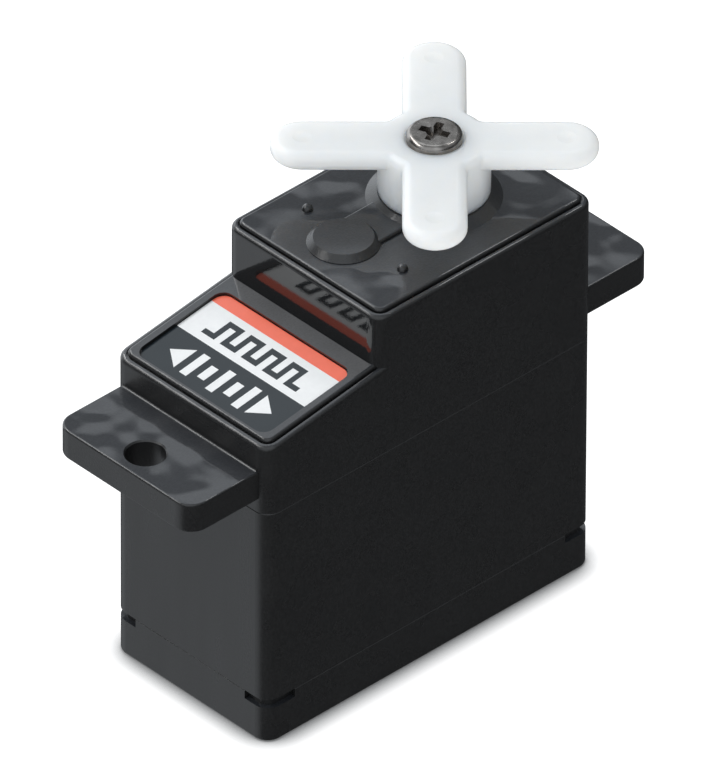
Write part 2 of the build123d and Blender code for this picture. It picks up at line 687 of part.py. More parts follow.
# ---- gear train ----------------------------------------------------------------------------
def motor_pinion():
    pinion = gear(PINION_T, FINE, 0, MOTOR_X, *PINION_Z)
    return pinion - rod(MOTOR_X, 0, SHAFT_R, PINION_Z[0] - OVER, PINION_Z[1] + OVER)


def gear_pin():
    return rod(PIN_X, 0, PIN_R, PIN_FOOT_Z, PIN_TOP_Z - PIN_END_GAP)


def webbed(wheel, x, radii, z0):
    """wheel with a ring-shaped relief in its underside."""
    return wheel - tube(x, 0, *radii, z0, z0 + WEB_DEPTH)


def bored(body, x, radius, zs):
    return body - rod(x, 0, radius, zs[0] - OVER, zs[-1] + OVER)


def first_gear():
    """Compound gear low on the pin, driven by the motor pinion."""
    z0, z1, z2 = FIRST_Z
    wheel = gear(FIRST_WHEEL_T, FINE, 180 - 180 / FIRST_WHEEL_T, PIN_X, z0, z1)
    pinion = gear(MID_PINION_T, FINE, 0, PIN_X, z1, z2)
    return bored(webbed(wheel, PIN_X, FIRST_WEB_R, z0) + pinion, PIN_X, PIN_BORE_R, FIRST_Z)


def second_gear():
    """Compound gear that turns freely on the potentiometer's shaft, under the output gear."""
    z0, z1, z2 = SECOND_Z
    wheel = gear(MID_WHEEL_T, FINE, 180 - 180 / MID_WHEEL_T, OUTPUT_X, z0, z1)
    pinion = gear(MID_PINION_T, FINE, 180, OUTPUT_X, z1, z2)
    body = webbed(wheel, OUTPUT_X, SECOND_WEB_R, z0) + pinion
    return bored(body, OUTPUT_X, POT_SHAFT_R + POT_SEAT_GAP, SECOND_Z)


def third_gear():
    """Compound gear high on the pin, whose pinion turns the output gear."""
    z0, z1, z2 = THIRD_Z
    wheel = gear(MID_WHEEL_T, FINE, 180 / MID_WHEEL_T, PIN_X, z0, z1)
    pinion = gear(LAST_PINION_T, COARSE, 0, PIN_X, z1, z2)
    return bored(webbed(wheel, PIN_X, THIRD_WEB_R, z0) + pinion, PIN_X, PIN_BORE_R, THIRD_Z)


def keyed_shaft(radius, flat, z0, z1):
    """Round shaft with one flat on its +X side."""
    keep = block(OUTPUT_X - 2 * radius, OUTPUT_X + flat, -2 * radius, 2 * radius, z0, z1)
    return rod(OUTPUT_X, 0, radius, z0, z1) & keep


def output_gear():
    """Output gear with its stop lug, journal and splined end, all one moulding."""
    body = gear(OUTPUT_T, COARSE, 180 - 180 / OUTPUT_T, OUTPUT_X, GEAR_Z0, GEAR_Z1)
    body += rod(OUTPUT_X, 0, JOURNAL_R, GEAR_Z1, JOURNAL_TOP_Z)
    body += rod(OUTPUT_X, 0, SHOULDER_R, GEAR_Z1, BUSH_Z0 - SHOULDER_GAP)
    body += spline_prism(SPLINE_R, SPLINE_DEPTH, JOURNAL_TOP_Z, SPLINE_TOP_Z)
    lug = tube(OUTPUT_X, 0, *LUG_R, GEAR_Z1, LUG_TOP_Z)
    body += lug & block(OUTPUT_X + LUG_X[0], OUTPUT_X + LUG_X[1], -LUG_HALF_W, LUG_HALF_W,
                        GEAR_Z1, LUG_TOP_Z)
    body -= keyed_shaft(POT_SHAFT_R + PRESS_GAP, POT_FLAT + PRESS_GAP, GEAR_Z0 - OVER, SHAFT_SOCKET_Z)
    return body - rod(OUTPUT_X, 0, HORN_SCREW_R + THREAD_GAP, SCREW_HOLE_Z, SPLINE_TOP_Z + OVER)


def output_bushing():
    return tube(OUTPUT_X, 0, BUSH_R, BUSH_BORE_R, BUSH_Z0, BUSH_Z1)


# ---- horn ----------------------------------------------------------------------------------
def horn():
    """Cross horn: two arm pairs on a round hub, with a splined socket underneath."""
    outline = Circle(HORN_HUB_R) + Sketch()
    for k, span in enumerate(HORN_SPANS):
        outline += Rot(0, 0, 90 * k) * SlotOverall(span, HORN_ARM_W)
    inner = [v for v in outline.vertices() if math.hypot(v.X, v.Y) < HORN_HUB_R + TOLERANCE]
    outline = fillet(inner, HORN_ROOT_R)
    arms = Pos(0, 0, HORN_TOP_Z - HORN_T) * extrude(outline, amount=HORN_T)
    flats = arms.faces().sort_by(Axis.Z)
    arms = fillet(flats[-1].edges() + flats[0].edges(), HORN_EDGE_R)
    body = arms + rod(0, 0, HORN_HUB_R, HORN_HUB_Z0, HORN_TOP_Z - HORN_EDGE_R)
    dome_r = (DIMPLE_R ** 2 + DIMPLE_DEPTH ** 2) / (2 * DIMPLE_DEPTH)
    for k, span in enumerate(HORN_SPANS):
        for side in (-1, 1):
            reach = side * (span - HORN_ARM_W) / 2
            dome = Pos(reach, 0, HORN_TOP_Z + dome_r - DIMPLE_DEPTH) * Sphere(dome_r)
            body -= Rot(0, 0, 90 * k) * dome
    body = Pos(OUTPUT_X, 0, 0) * Rot(0, 0, HORN_ANGLE) * body
    body -= spline_prism(SPLINE_R + SPLINE_FIT, SPLINE_DEPTH, HORN_HUB_Z0 - OVER, SOCKET_TOP_Z)
    body -= rod(OUTPUT_X, 0, HORN_SCREW_R + HORN_SCREW_GAP, SOCKET_TOP_Z - OVER, HORN_TOP_Z + OVER)
    return body - rod(OUTPUT_X, 0, HORN_SEAT_R, HORN_SEAT_Z, HORN_TOP_Z + OVER)


def horn_screw():
    head = rod(OUTPUT_X, 0, HORN_HEAD_R, HORN_SEAT_Z, HORN_HEAD_TOP_Z)
    head = fillet(head.faces().sort_by(Axis.Z)[-1].edges(), HORN_HEAD_EDGE_R)
    screw = head + rod(OUTPUT_X, 0, HORN_SCREW_R, HORN_SCREW_FOOT_Z, HORN_SEAT_Z)
    cross = phillips(*HORN_CROSS)
    return screw - Pos(OUTPUT_X, 0, HORN_HEAD_TOP_Z) * Rot(0, 0, HORN_CROSS_ANGLE) * cross


# ---- potentiometer and electronics ---------------------------------------------------------
def pot_housing():
    cup = rod(OUTPUT_X, 0, POT_R, POT_Z0, POT_Z1)
    cup -= rod(OUTPUT_X, 0, POT_R - POT_WALL, POT_Z0 - OVER, POT_Z1 - POT_ROOF)
    cup += rod(OUTPUT_X, 0, POT_NOSE_R, POT_Z1 - POT_ROOF, POT_NOSE_TOP_Z)
    return cup - rod(OUTPUT_X, 0, POT_SHAFT_R + POT_BORE_GAP, POT_Z0, POT_NOSE_TOP_Z + OVER)


def pot_track():
    """Resistive disc that closes the potentiometer's underside."""
    return rod(OUTPUT_X, 0, POT_R - POT_WALL - TRACK_GAP, POT_Z0, POT_Z0 + TRACK_T)


def pot_terminals():
    pins = Part()
    x0, x1 = POT_PIN_X
    for y in POT_PIN_Y:
        pins += block(OUTPUT_X + x0, OUTPUT_X + x1, y - POT_PIN_HALF_W, y + POT_PIN_HALF_W,
                      BOARD_Z1, POT_Z0)
    return pins


def pot_shaft():
    foot, keyed_from, top = POT_SHAFT_Z
    round_part = rod(OUTPUT_X, 0, POT_SHAFT_R, foot, keyed_from)
    return round_part + keyed_shaft(POT_SHAFT_R, POT_FLAT, keyed_from, top)


def pot_wiper():
    """Sprung contact carrier pressed on the foot of the potentiometer's shaft."""
    z0, z1, z2, z3 = WIPER_Z
    x0, x1, x2 = (OUTPUT_X + x for x in WIPER_X)
    disc = tube(OUTPUT_X, 0, WIPER_R, POT_SHAFT_R, z1, z3)
    disc += block(x0, x2, -WIPER_HALF_W, WIPER_HALF_W, z1, z2)
    disc += block(x0, x1, -WIPER_HALF_W, WIPER_HALF_W, z0, z1)
    return disc


def circuit_board():
    half_l = CASE_L / 2 - WALL - BOARD_END_GAP
    board = block(BOARD_X0, half_l, -BOARD_HALF_W, BOARD_HALF_W, BOARD_Z0, BOARD_Z1)
    return board - at_screws(POST_R + BOARD_POST_GAP, BOARD_Z0 - OVER, BOARD_Z1 + OVER)


def control_chip():
    x0, x1 = CHIP_X
    low, high = CHIP_Z
    body = block(x0, x1, -CHIP_HALF_W, CHIP_HALF_W, BOARD_Z1 + low, BOARD_Z1 + high)
    for k in range(CHIP_LEADS):
        y = CHIP_LEAD_PITCH * (k - (CHIP_LEADS - 1) / 2)
        body += block(x0 - CHIP_LEAD_REACH, x1 + CHIP_LEAD_REACH, y - CHIP_LEAD_HALF_W,
                      y + CHIP_LEAD_HALF_W, BOARD_Z1, BOARD_Z1 + CHIP_LEAD_T)
    return body


def board_parts():
    """Driver transistors, capacitors and resistors on the board's two faces."""
    parts = Part()
    for x, y, length, width, height in TOP_SPOTS:
        parts += Pos(x, y, BOARD_Z1) * Box(length, width, height, align=CENTRED_UP)
    for x, y, length, width, height in UNDER_SPOTS:
        parts += Pos(x, y, BOARD_Z0 - height) * Box(length, width, height, align=CENTRED_UP)
    return parts


def motor_leads():
    """Two insulated wires from the motor's solder tabs to the board's underside."""
    leads = Part()
    for side in (-1, 1):
        y = side * LEAD_Y
        start = (MOTOR_X + BRUSH_X[2], y, LEAD_Z)
        route = FilletPolyline(start, (LEAD_X, y, LEAD_Z), (LEAD_X, y, BOARD_Z0), radius=LEAD_BEND_R)
        leads += sweep(Plane(origin=start, z_dir=(1, 0, 0)) * Circle(LEAD_R), path=route)
    return leads


NODES = {
    "top_case": top_case,
    "middle_case": middle_case,
    "bottom_cover": bottom_cover,
    "case_screws": case_screws,
    "label_plate": label_plate,
    "cable_gland": cable_gland,
    "motor_can": motor_can,
    "motor_bearing": motor_bearing,
    "motor_end_bell": motor_end_bell,
    "motor_brush_terminals": motor_terminals,
    "motor_magnets": motor_magnets,
    "motor_shaft": motor_shaft,
    "armature_core": armature_core,
    "armature_windings": armature_windings,
    "commutator_sleeve": commutator_sleeve,
    "commutator_segments": commutator,
    "motor_pinion": motor_pinion,
    "gear_pin": gear_pin,
    "first_gear": first_gear,
    "second_gear": second_gear,
    "third_gear": third_gear,
    "output_gear": output_gear,
    "output_bushing": output_bushing,
    "horn": horn,
    "horn_screw": horn_screw,
    "pot_housing": pot_housing,
    "pot_track": pot_track,
    "pot_terminals": pot_terminals,
    "pot_shaft": pot_shaft,
    "pot_wiper": pot_wiper,
    "circuit_board": circuit_board,
    "control_chip": control_chip,
    "board_parts": board_parts,
    "motor_leads": motor_leads,
}

os.makedirs("parts", exist_ok=True)
for name, make in NODES.items():
    export_step(make(), f"parts/{name}.step")
    print(name)
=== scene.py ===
"""Looks of the servo motor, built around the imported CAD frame. Every length is in metres."""

import math

import bmesh
import bpy
from mathutils import Matrix, Vector


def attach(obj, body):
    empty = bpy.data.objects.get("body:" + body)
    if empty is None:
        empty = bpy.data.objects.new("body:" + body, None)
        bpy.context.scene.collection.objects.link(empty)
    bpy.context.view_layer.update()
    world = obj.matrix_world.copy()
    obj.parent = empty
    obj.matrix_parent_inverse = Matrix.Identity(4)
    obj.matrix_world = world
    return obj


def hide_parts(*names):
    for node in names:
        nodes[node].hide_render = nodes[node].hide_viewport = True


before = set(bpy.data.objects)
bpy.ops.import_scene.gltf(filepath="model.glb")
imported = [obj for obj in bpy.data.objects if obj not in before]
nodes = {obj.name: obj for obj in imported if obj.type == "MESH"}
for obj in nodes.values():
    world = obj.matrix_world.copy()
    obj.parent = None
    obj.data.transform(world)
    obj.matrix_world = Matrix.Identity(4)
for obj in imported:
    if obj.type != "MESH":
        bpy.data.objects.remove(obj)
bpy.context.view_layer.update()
MM = 0.001


def add_object(name, data):
    """New object that holds data, linked into the scene."""
    item = bpy.data.objects.new(name, data)
    bpy.context.scene.collection.objects.link(item)
    return item


# ---- camera --------------------------------------------------------------------------------
CAM_AZIMUTH = math.radians(-43.44)
CAM_ELEVATION = math.radians(36.71)
CAM_ROLL = math.radians(0.24)
CAM_DISTANCE = 1.5
CAM_AIM_RIGHT = 0.457 * MM
CAM_AIM_UP = 11.208 * MM
CAM_VIEW_HEIGHT = 39.136 * MM
CAM_CLIP = (0.01, 100)
SENSOR = 36.0


def make_camera():
    """Long-lens camera; its aim lies CAM_AIM_RIGHT and CAM_AIM_UP from the frame's origin."""
    back = Vector((math.sin(CAM_AZIMUTH) * math.cos(CAM_ELEVATION),
                   -math.cos(CAM_AZIMUTH) * math.cos(CAM_ELEVATION),
                   math.sin(CAM_ELEVATION)))
    level = Vector((math.cos(CAM_AZIMUTH), math.sin(CAM_AZIMUTH), 0))
    upright = back.cross(level)
    right = math.cos(CAM_ROLL) * level + math.sin(CAM_ROLL) * upright
    up = -math.sin(CAM_ROLL) * level + math.cos(CAM_ROLL) * upright
    data = bpy.data.cameras.new("camera")
    data.sensor_width = SENSOR
    data.lens = SENSOR * CAM_DISTANCE / CAM_VIEW_HEIGHT
    data.clip_start, data.clip_end = CAM_CLIP
    camera = add_object("camera", data)
    place = CAM_AIM_RIGHT * right + CAM_AIM_UP * up + CAM_DISTANCE * back
    turn = Matrix((right, up, back)).transposed().to_4x4()
    camera.matrix_world = Matrix.Translation(place) @ turn
    bpy.context.scene.camera = camera


# ---- shader helpers ------------------------------------------------------------------------
NOISE_SPAN = (0.3, 0.7)        # the noise texture's usual lowest and highest values
NOISE_MIDDLE = 0.5
FACING_SPAN = (0.8, 0.95)      # cosines over which a face goes from turned away to facing
HEIGHT_BLUR = 0.1 * MM
EVEN = (1, 1, 1)
UP = (0, 0, 1)
LABEL_END = (-1, 0, 0)


class Shader:
    """A material's node tree, with short calls for the nodes used here."""

    def __init__(self, name, **settings):
        self.material = bpy.data.materials.new(name)
        self.material.use_nodes = True
        self.nodes = self.material.node_tree.nodes
        self.links = self.material.node_tree.links
        self.bsdf = self.nodes["Principled BSDF"]
        coordinates = self.add("ShaderNodeTexCoord")
        self.place = coordinates.outputs["Object"]
        self.normal = coordinates.outputs["Normal"]
        for socket, value in settings.items():
            self.bsdf.inputs[socket.replace("_", " ")].default_value = value

    def add(self, kind, **props):
        """New node of a kind, with its properties set."""
        node = self.nodes.new(kind)
        for key, value in props.items():
            setattr(node, key, value)
        return node

    def wire(self, source, node, socket):
        """Feed a node's socket from another node, or set it to a plain number."""
        if isinstance(source, (int, float)):
            node.inputs[socket].default_value = source
        else:
            self.links.new(source, node.inputs[socket])

    def noise(self, size, detail, roughness=0.5, stretch=EVEN):
        """Cloudy noise with features about size metres across."""
        mapping = self.add("ShaderNodeMapping")
        self.wire(self.place, mapping, "Vector")
        mapping.inputs["Scale"].default_value = stretch
        node = self.add("ShaderNodeTexNoise")
        self.wire(mapping.outputs["Vector"], node, "Vector")
        node.inputs["Scale"].default_value = 1 / size
        node.inputs["Detail"].default_value = detail
        node.inputs["Roughness"].default_value = roughness
        return node.outputs["Fac"]

    def facing(self, axis):
        """1 on the faces that look along axis, 0 on those turned away from it."""
        node = self.add("ShaderNodeVectorMath", operation="DOT_PRODUCT")
        self.links.new(self.normal, node.inputs[0])
        node.inputs[1].default_value = axis
        return self.span(node.outputs["Value"], 0, 1, FACING_SPAN)

    def above(self, height):
        """1 above a height in the CAD frame, 0 below it."""
        node = self.add("ShaderNodeSeparateXYZ")
        self.links.new(self.place, node.inputs[0])
        return self.span(node.outputs["Z"], 0, 1, (height, height + HEIGHT_BLUR))

    def span(self, value, low, high, source=NOISE_SPAN):
        """value, which runs over the source span, stretched to low..high."""
        node = self.add("ShaderNodeMapRange")
        self.wire(value, node, "Value")
        ends = ("From Min", "From Max", "To Min", "To Max")
        for socket, number in zip(ends, (*source, low, high)):
            node.inputs[socket].default_value = number
        return node.outputs["Result"]

    def mix(self, data_type, socket_type, factor, a, b):
        """Mix node that runs from a to b as factor runs from 0 to 1."""
        node = self.add("ShaderNodeMix", data_type=data_type)
        self.wire(factor, node, "Factor")
        for socket, value in (("A", a), ("B", b)):
            target = [s for s in node.inputs if s.name == socket and s.type == socket_type][0]
            if isinstance(value, (int, float, tuple)):
                target.default_value = value
            else:
                self.links.new(value, target)
        return [s for s in node.outputs if s.type == socket_type][0]

    def between(self, factor, a, b):
        """Number between a and b."""
        return self.mix("FLOAT", "VALUE", factor, a, b)

    def blend(self, factor, a, b):
        """Colour between a and b, each a node's output or three plain numbers."""
        a, b = [(*c, 1) if isinstance(c, tuple) else c for c in (a, b)]
        return self.mix("RGBA", "RGBA", factor, a, b)

    def bump(self, height, depth, under=None):
        """Relief of the given depth, laid over the relief named under."""
        node = self.add("ShaderNodeBump")
        node.inputs["Distance"].default_value = depth
        self.wire(height, node, "Height")
        if under is not None:
            self.links.new(under, node.inputs["Normal"])
        return node.outputs["Normal"]

    def set(self, socket, source):
        """Feed one of the surface shader's own sockets."""
        self.wire(source, self.bsdf, socket)


# Below, each texture is its feature size and its detail, then its roughness if that isn't 0.5.

# ---- black case ----------------------------------------------------------------------------
CASE_IOR = 1.58
CASE_DARK = (0.006, 0.006, 0.0061)
CASE_LIGHT = (0.012, 0.012, 0.0123)
# Painted light: top-facing faces get these lighter base colours to stand in for light falling from
# above.
PAINTED_LIT_TOP_DARK = (0.019, 0.0205, 0.024)
PAINTED_LIT_TOP_LIGHT = (0.029, 0.0315, 0.036)
SPECKLE = (0.12 * MM, 4)
SATIN_CLOUD = (2.2 * MM, 1)
SATIN_ROUGH = (0.24, 0.36)
SIDE_SPECULAR = 0.5
END_CLOUD = (1.6 * MM, 1)
END_STREAK = (1, 1, 0.15)
END_SMOOTHING = 0.85
POLISH_ROUGH = (0.035, 0.07)
POLISH_SPECULAR = 0.7
POLISH_Z = 18.9 * MM
TOP_ROUGH = 0.34
TOP_SPECULAR = 0.18
TOP_COAT = 1.0
COAT_IOR = 1.5
COAT_ROUGH = 0.03
WAVE = (3.0 * MM, 1)
WAVE_DEPTH = 0.12 * MM
GRAIN = (0.1 * MM, 2, 0.6)
GRAIN_DEPTH = 0.012 * MM


def moulded_black(name, end_rough, end_specular, polish_z):
    """Black moulding: grained sides, smoother ends above polish_z, satin tops under a gloss skin;
    the tops' lighter base colour is painted light.
    """
    s = Shader(name, IOR=CASE_IOR, Coat_Roughness=COAT_ROUGH, Coat_IOR=COAT_IOR)
    tops = s.facing(UP)
    ends = s.between(s.above(polish_z), 0, s.facing(LABEL_END))
    speckle = s.span(s.noise(*SPECKLE), 0, 1)
    sides = s.blend(speckle, CASE_DARK, CASE_LIGHT)
    # Painted light: top-facing faces take the lighter colours in place of the sides' black.
    s.set("Base Color", s.blend(tops, sides, s.blend(speckle, PAINTED_LIT_TOP_DARK, PAINTED_LIT_TOP_LIGHT)))
    satin = s.span(s.noise(*SATIN_CLOUD), *SATIN_ROUGH)
    polish = s.span(s.noise(*END_CLOUD, stretch=END_STREAK), *end_rough)
    s.set("Roughness", s.between(tops, s.between(ends, satin, polish), TOP_ROUGH))
    specular = s.between(ends, SIDE_SPECULAR, end_specular)
    s.set("Specular IOR Level", s.between(tops, specular, TOP_SPECULAR))
    s.set("Coat Weight", s.between(tops, 0, TOP_COAT))
    s.set("Coat Normal", s.bump(s.noise(*WAVE), WAVE_DEPTH))
    grain = s.noise(*GRAIN)
    faint = s.between(END_SMOOTHING, grain, NOISE_MIDDLE)
    s.set("Normal", s.bump(s.between(ends, grain, faint), GRAIN_DEPTH))
    return s.material


# ---- nylon ---------------------------------------------------------------------------------
NYLON_IOR = 1.53
SCATTER_DEPTH = 2.0 * MM
SCATTER_TINT = (1.0, 0.9, 0.8)
FLOW_CLOUD = (1.6 * MM, 3)
# Painted shade: the span of the Layer Weight facing over which the base colour darkens to the rim
# colour.
RIM_SHADE_SPAN = (0.55, 0.95)
NYLON_SHEEN = (0.7 * MM, 3)
NYLON_ROUGH = (0.28, 0.42)
NYLON_GRAIN = (0.25 * MM, 3)
NYLON_GRAIN_DEPTH = 0.004 * MM
SINKS = (2 * MM, 1)
SINK_DEPTH = 0.03 * MM


def nylon(name, light, shade, painted_rim_shade):
    """Translucent moulded nylon with faint flow marks, and painted shade that darkens its colour
    towards the edge-on rims.
    """
    s = Shader(name, IOR=NYLON_IOR, Subsurface_Weight=1.0, Subsurface_Scale=SCATTER_DEPTH,
               Subsurface_Radius=SCATTER_TINT)
    cloudy = s.blend(s.span(s.noise(*FLOW_CLOUD), 0, 1), light, shade)
    # Painted shade: the base colour turns to the darker rim colour where the surface turns edge-on.
    edge_on = s.add("ShaderNodeLayerWeight").outputs["Facing"]
    s.set("Base Color", s.blend(s.span(edge_on, 0, 1, RIM_SHADE_SPAN), cloudy, painted_rim_shade))
    s.set("Roughness", s.span(s.noise(*NYLON_SHEEN), *NYLON_ROUGH))
    sinks = s.bump(s.noise(*SINKS), SINK_DEPTH)
    s.set("Normal", s.bump(s.noise(*NYLON_GRAIN), NYLON_GRAIN_DEPTH, sinks))
    return s.material


# ---- metal ---------------------------------------------------------------------------------
METAL_CLOUD = (0.6 * MM, 4)
METAL_SHEEN = (0.2 * MM, 4, 0.6)
SCRATCHES = (0.12 * MM, 3, 0.6)
SCRATCH_DEPTH = 0.002 * MM
DRAWN = (1, 1, 0.1)            # scratches that run along the part's axis
TURNED = (1, 1, 6)             # scratches that run round it
WOUND = (1, 1, 8)              # fine turns of wire


def metal(name, light, dark, rough, scratch=EVEN):
    """Metal with an uneven finish and fine scratches."""
    s = Shader(name, Metallic=1.0)
    s.set("Base Color", s.blend(s.span(s.noise(*METAL_CLOUD), 0, 1), light, dark))
    s.set("Roughness", s.span(s.noise(*METAL_SHEEN, stretch=scratch), *rough))
    s.set("Normal", s.bump(s.noise(*SCRATCHES, stretch=scratch), SCRATCH_DEPTH))
    return s.material


# ---- inner plastics ------------------------------------------------------------------------
PLASTIC_IOR = 1.48
PLASTIC_CLOUD = (0.9 * MM, 4)
PLASTIC_TONES = (0.75, 1.2)
PLASTIC_SHEEN = (0.5 * MM, 3)
PLASTIC_GRAIN = (0.08 * MM, 3, 0.6)
FINE_GRAIN = 0.003 * MM
EPOXY_GRAIN = 0.006 * MM
COARSE_GRAIN = 0.01 * MM


def plain_plastic(name, colour, rough, grain=FINE_GRAIN):
    """Satin plastic, rubber, resin or lacquer with cloudy tone and fine grain."""
    s = Shader(name, IOR=PLASTIC_IOR)
    dark, light = [tuple(tone * c for c in colour) for tone in PLASTIC_TONES]
    s.set("Base Color", s.blend(s.span(s.noise(*PLASTIC_CLOUD), 0, 1), dark, light))
    s.set("Roughness", s.span(s.noise(*PLASTIC_SHEEN), *rough))
    s.set("Normal", s.bump(s.noise(*PLASTIC_GRAIN), grain))
    return s.material


# ---- sticker inks --------------------------------------------------------------------------
INK_IOR = 1.46
INK_CLOUD = (0.5 * MM, 5, 0.7)
INK_FADE = 0.95
INK_SHEEN = (0.8 * MM, 2)
INK_ROUGH_RANGE = 0.1
RIPPLES = (1.8 * MM, 2)
RIPPLE_DEPTH = 0.03 * MM


def print_ink(name, colour, roughness):
    """Printed sticker film: a smooth, faintly rippled gloss."""
    s = Shader(name, IOR=INK_IOR)
    faded = tuple(INK_FADE * c for c in colour)
    s.set("Base Color", s.blend(s.span(s.noise(*INK_CLOUD), 0, 1), faded, colour))
    s.set("Roughness", s.span(s.noise(*INK_SHEEN), roughness, roughness + INK_ROUGH_RANGE))
    s.set("Normal", s.bump(s.noise(*RIPPLES), RIPPLE_DEPTH))
    return s.material


# ---- materials -----------------------------------------------------------------------------
GLOSS_CASE = moulded_black("gloss_case", POLISH_ROUGH, POLISH_SPECULAR, POLISH_Z)
GRAIN_CASE = moulded_black("grain_case", SATIN_ROUGH, SIDE_SPECULAR, 0.0)
# Each nylon's rim colour is painted shade, used where its surface turns edge-on.
HORN_NYLON = nylon("horn_nylon", light=(0.83, 0.835, 0.82), shade=(0.8, 0.81, 0.8),
                   painted_rim_shade=(0.6, 0.615, 0.62))
GEAR_NYLON = nylon("gear_nylon", light=(0.72, 0.71, 0.66), shade=(0.66, 0.65, 0.60),
                   painted_rim_shade=(0.56, 0.55, 0.5))
DARK_SCREW = metal("dark_screw", light=(0.36, 0.34, 0.32), dark=(0.16, 0.15, 0.14),
                   rough=(0.12, 0.3))
STEEL = metal("steel", light=(0.6, 0.6, 0.6), dark=(0.45, 0.45, 0.46), rough=(0.2, 0.4),
              scratch=DRAWN)
MOTOR_STEEL = metal("motor_steel", light=(0.5, 0.51, 0.53), dark=(0.38, 0.39, 0.4),
                    rough=(0.25, 0.45), scratch=DRAWN)
BRASS = metal("brass", light=(0.78, 0.58, 0.26), dark=(0.6, 0.43, 0.17), rough=(0.2, 0.38),
              scratch=TURNED)
COPPER = metal("copper", light=(0.75, 0.38, 0.2), dark=(0.5, 0.22, 0.1), rough=(0.2, 0.4),
               scratch=WOUND)
FERRITE = plain_plastic("ferrite", (0.06, 0.06, 0.065), rough=(0.5, 0.7), grain=COARSE_GRAIN)
INNER_PLASTIC = plain_plastic("inner_plastic", (0.05, 0.05, 0.055), rough=(0.35, 0.5))
POT_RESIN = plain_plastic("pot_resin", (0.22, 0.1, 0.04), rough=(0.3, 0.5))
BOARD_GREEN = plain_plastic("board_green", (0.02, 0.16, 0.06), rough=(0.2, 0.35))
CHIP_BLACK = plain_plastic("chip_black", (0.02, 0.02, 0.021), rough=(0.4, 0.6), grain=EPOXY_GRAIN)
LEAD_RED = plain_plastic("lead_red", (0.5, 0.02, 0.02), rough=(0.3, 0.45))
RUBBER = plain_plastic("rubber", (0.015, 0.015, 0.016), rough=(0.6, 0.8), grain=COARSE_GRAIN)
LABEL_RED = print_ink("label_red", (0.98, 0.19, 0.115), roughness=0.16)
LABEL_WHITE = print_ink("label_white", (0.9, 0.9, 0.89), roughness=0.16)
LABEL_DARK = print_ink("label_dark", (0.015, 0.022, 0.027), roughness=0.12)

FINISH = {
    "top_case": GLOSS_CASE, "middle_case": GRAIN_CASE, "bottom_cover": GRAIN_CASE,
    "case_screws": STEEL, "label_plate": LABEL_WHITE, "cable_gland": RUBBER,
    "motor_can": MOTOR_STEEL, "motor_bearing": BRASS, "motor_end_bell": INNER_PLASTIC,
    "motor_brush_terminals": BRASS, "motor_magnets": FERRITE, "gear_pin": STEEL,
    "output_bushing": BRASS, "pot_housing": INNER_PLASTIC, "pot_track": POT_RESIN,
    "pot_terminals": BRASS, "circuit_board": BOARD_GREEN, "control_chip": CHIP_BLACK,
    "board_parts": CHIP_BLACK, "motor_leads": LEAD_RED, "motor_shaft": STEEL,
    "armature_core": MOTOR_STEEL, "armature_windings": COPPER,
    "commutator_sleeve": INNER_PLASTIC, "commutator_segments": COPPER, "motor_pinion": BRASS,
    "first_gear": GEAR_NYLON, "second_gear": GEAR_NYLON, "third_gear": GEAR_NYLON,
    "output_gear": GEAR_NYLON, "pot_shaft": BRASS, "pot_wiper": BRASS, "horn": HORN_NYLON,
    "horn_screw": DARK_SCREW}


def finish_nodes():
    """Give every CAD node its material."""
    for name, finish in FINISH.items():
        slots = nodes[name].data.materials
        slots.clear()
        slots.append(finish)


# ---- label ---------------------------------------------------------------------------------
RED_BAND_X = -5.45 * MM
WHITE_BAND_X = -7.85 * MM
INK_T = 0.008 * MM
PULSE_COUNT = 4
PULSE_PITCH = 1.55 * MM
PULSE_WIDTH = PULSE_PITCH / 2
PULSE_HEIGHT = 1.15 * MM
PULSE_LINE = 0.34 * MM
TICK_PITCH = 0.95 * MM
TICK_WIDTH = 0.5 * MM
TICK_TALL = 1.75 * MM
TICK_SHORT = 1.05 * MM
TICK_HEIGHTS = (TICK_TALL, TICK_SHORT, TICK_TALL, TICK_SHORT, TICK_TALL)
ARROW_REACH = 3.75 * MM
ARROW_LENGTH = 1.15 * MM
ARROW_HEIGHT = 1.65 * MM


def label_frame():
    """Matrix of the sticker's top face: local X reads towards -Y, local Y climbs the slope."""
    mesh = nodes["label_plate"].data
    lift = max(mesh.polygons, key=lambda f: f.area * f.normal.z).normal.copy()
    across = Vector((0, -1, 0))
    climb = lift.cross(across).normalized()
    points = [v.co for v in mesh.vertices]
    top = max(p.dot(lift) for p in points)
    low = min(p.dot(climb) for p in points)
    high = max(p.dot(climb) for p in points)
    middle = (low + high) / 2
    turn = Matrix((across, climb, lift)).transposed().to_4x4()
    return Matrix.Translation(top * lift + middle * climb) @ turn, (high - low) / 2


def climb_of(place, x):
    """Local Y on the sticker of the line that crosses it at x along the case."""
    climb = place.col[1]
    return (x - place.translation.x) / climb.x


def pulse_line():
    """Outline of a square wave, centred on the origin and drawn with a line of even width."""
    half = PULSE_LINE / 2
    path = []
    for k in range(PULSE_COUNT):
        rise = (k - PULSE_COUNT / 2) * PULSE_PITCH + PULSE_WIDTH / 2
        fall = rise + PULSE_WIDTH
        path += [(rise, 0, -1), (rise, 1, -1), (fall, 1, 1), (fall, 0, 1)]
    start = path[0][0] - PULSE_WIDTH
    end = path[-1][0] + PULSE_WIDTH
    upper = [(start, half)]
    lower = [(start, -half)]
    for u, level, side in path:
        v = level * PULSE_HEIGHT
        upper.append((u + side * half, v + half))
        lower.append((u - side * half, v - half))
    upper.append((end, half))
    lower.append((end, -half))
    return [(u, v - PULSE_HEIGHT / 2) for u, v in lower + upper[::-1]]


def tick(k, height):
    """Outline of the k-th of the upright bars, which stand on either side of the middle one."""
    left = (k - len(TICK_HEIGHTS) // 2) * TICK_PITCH - TICK_WIDTH / 2
    right = left + TICK_WIDTH
    half = height / 2
    return [(left, -half), (right, -half), (right, half), (left, half)]


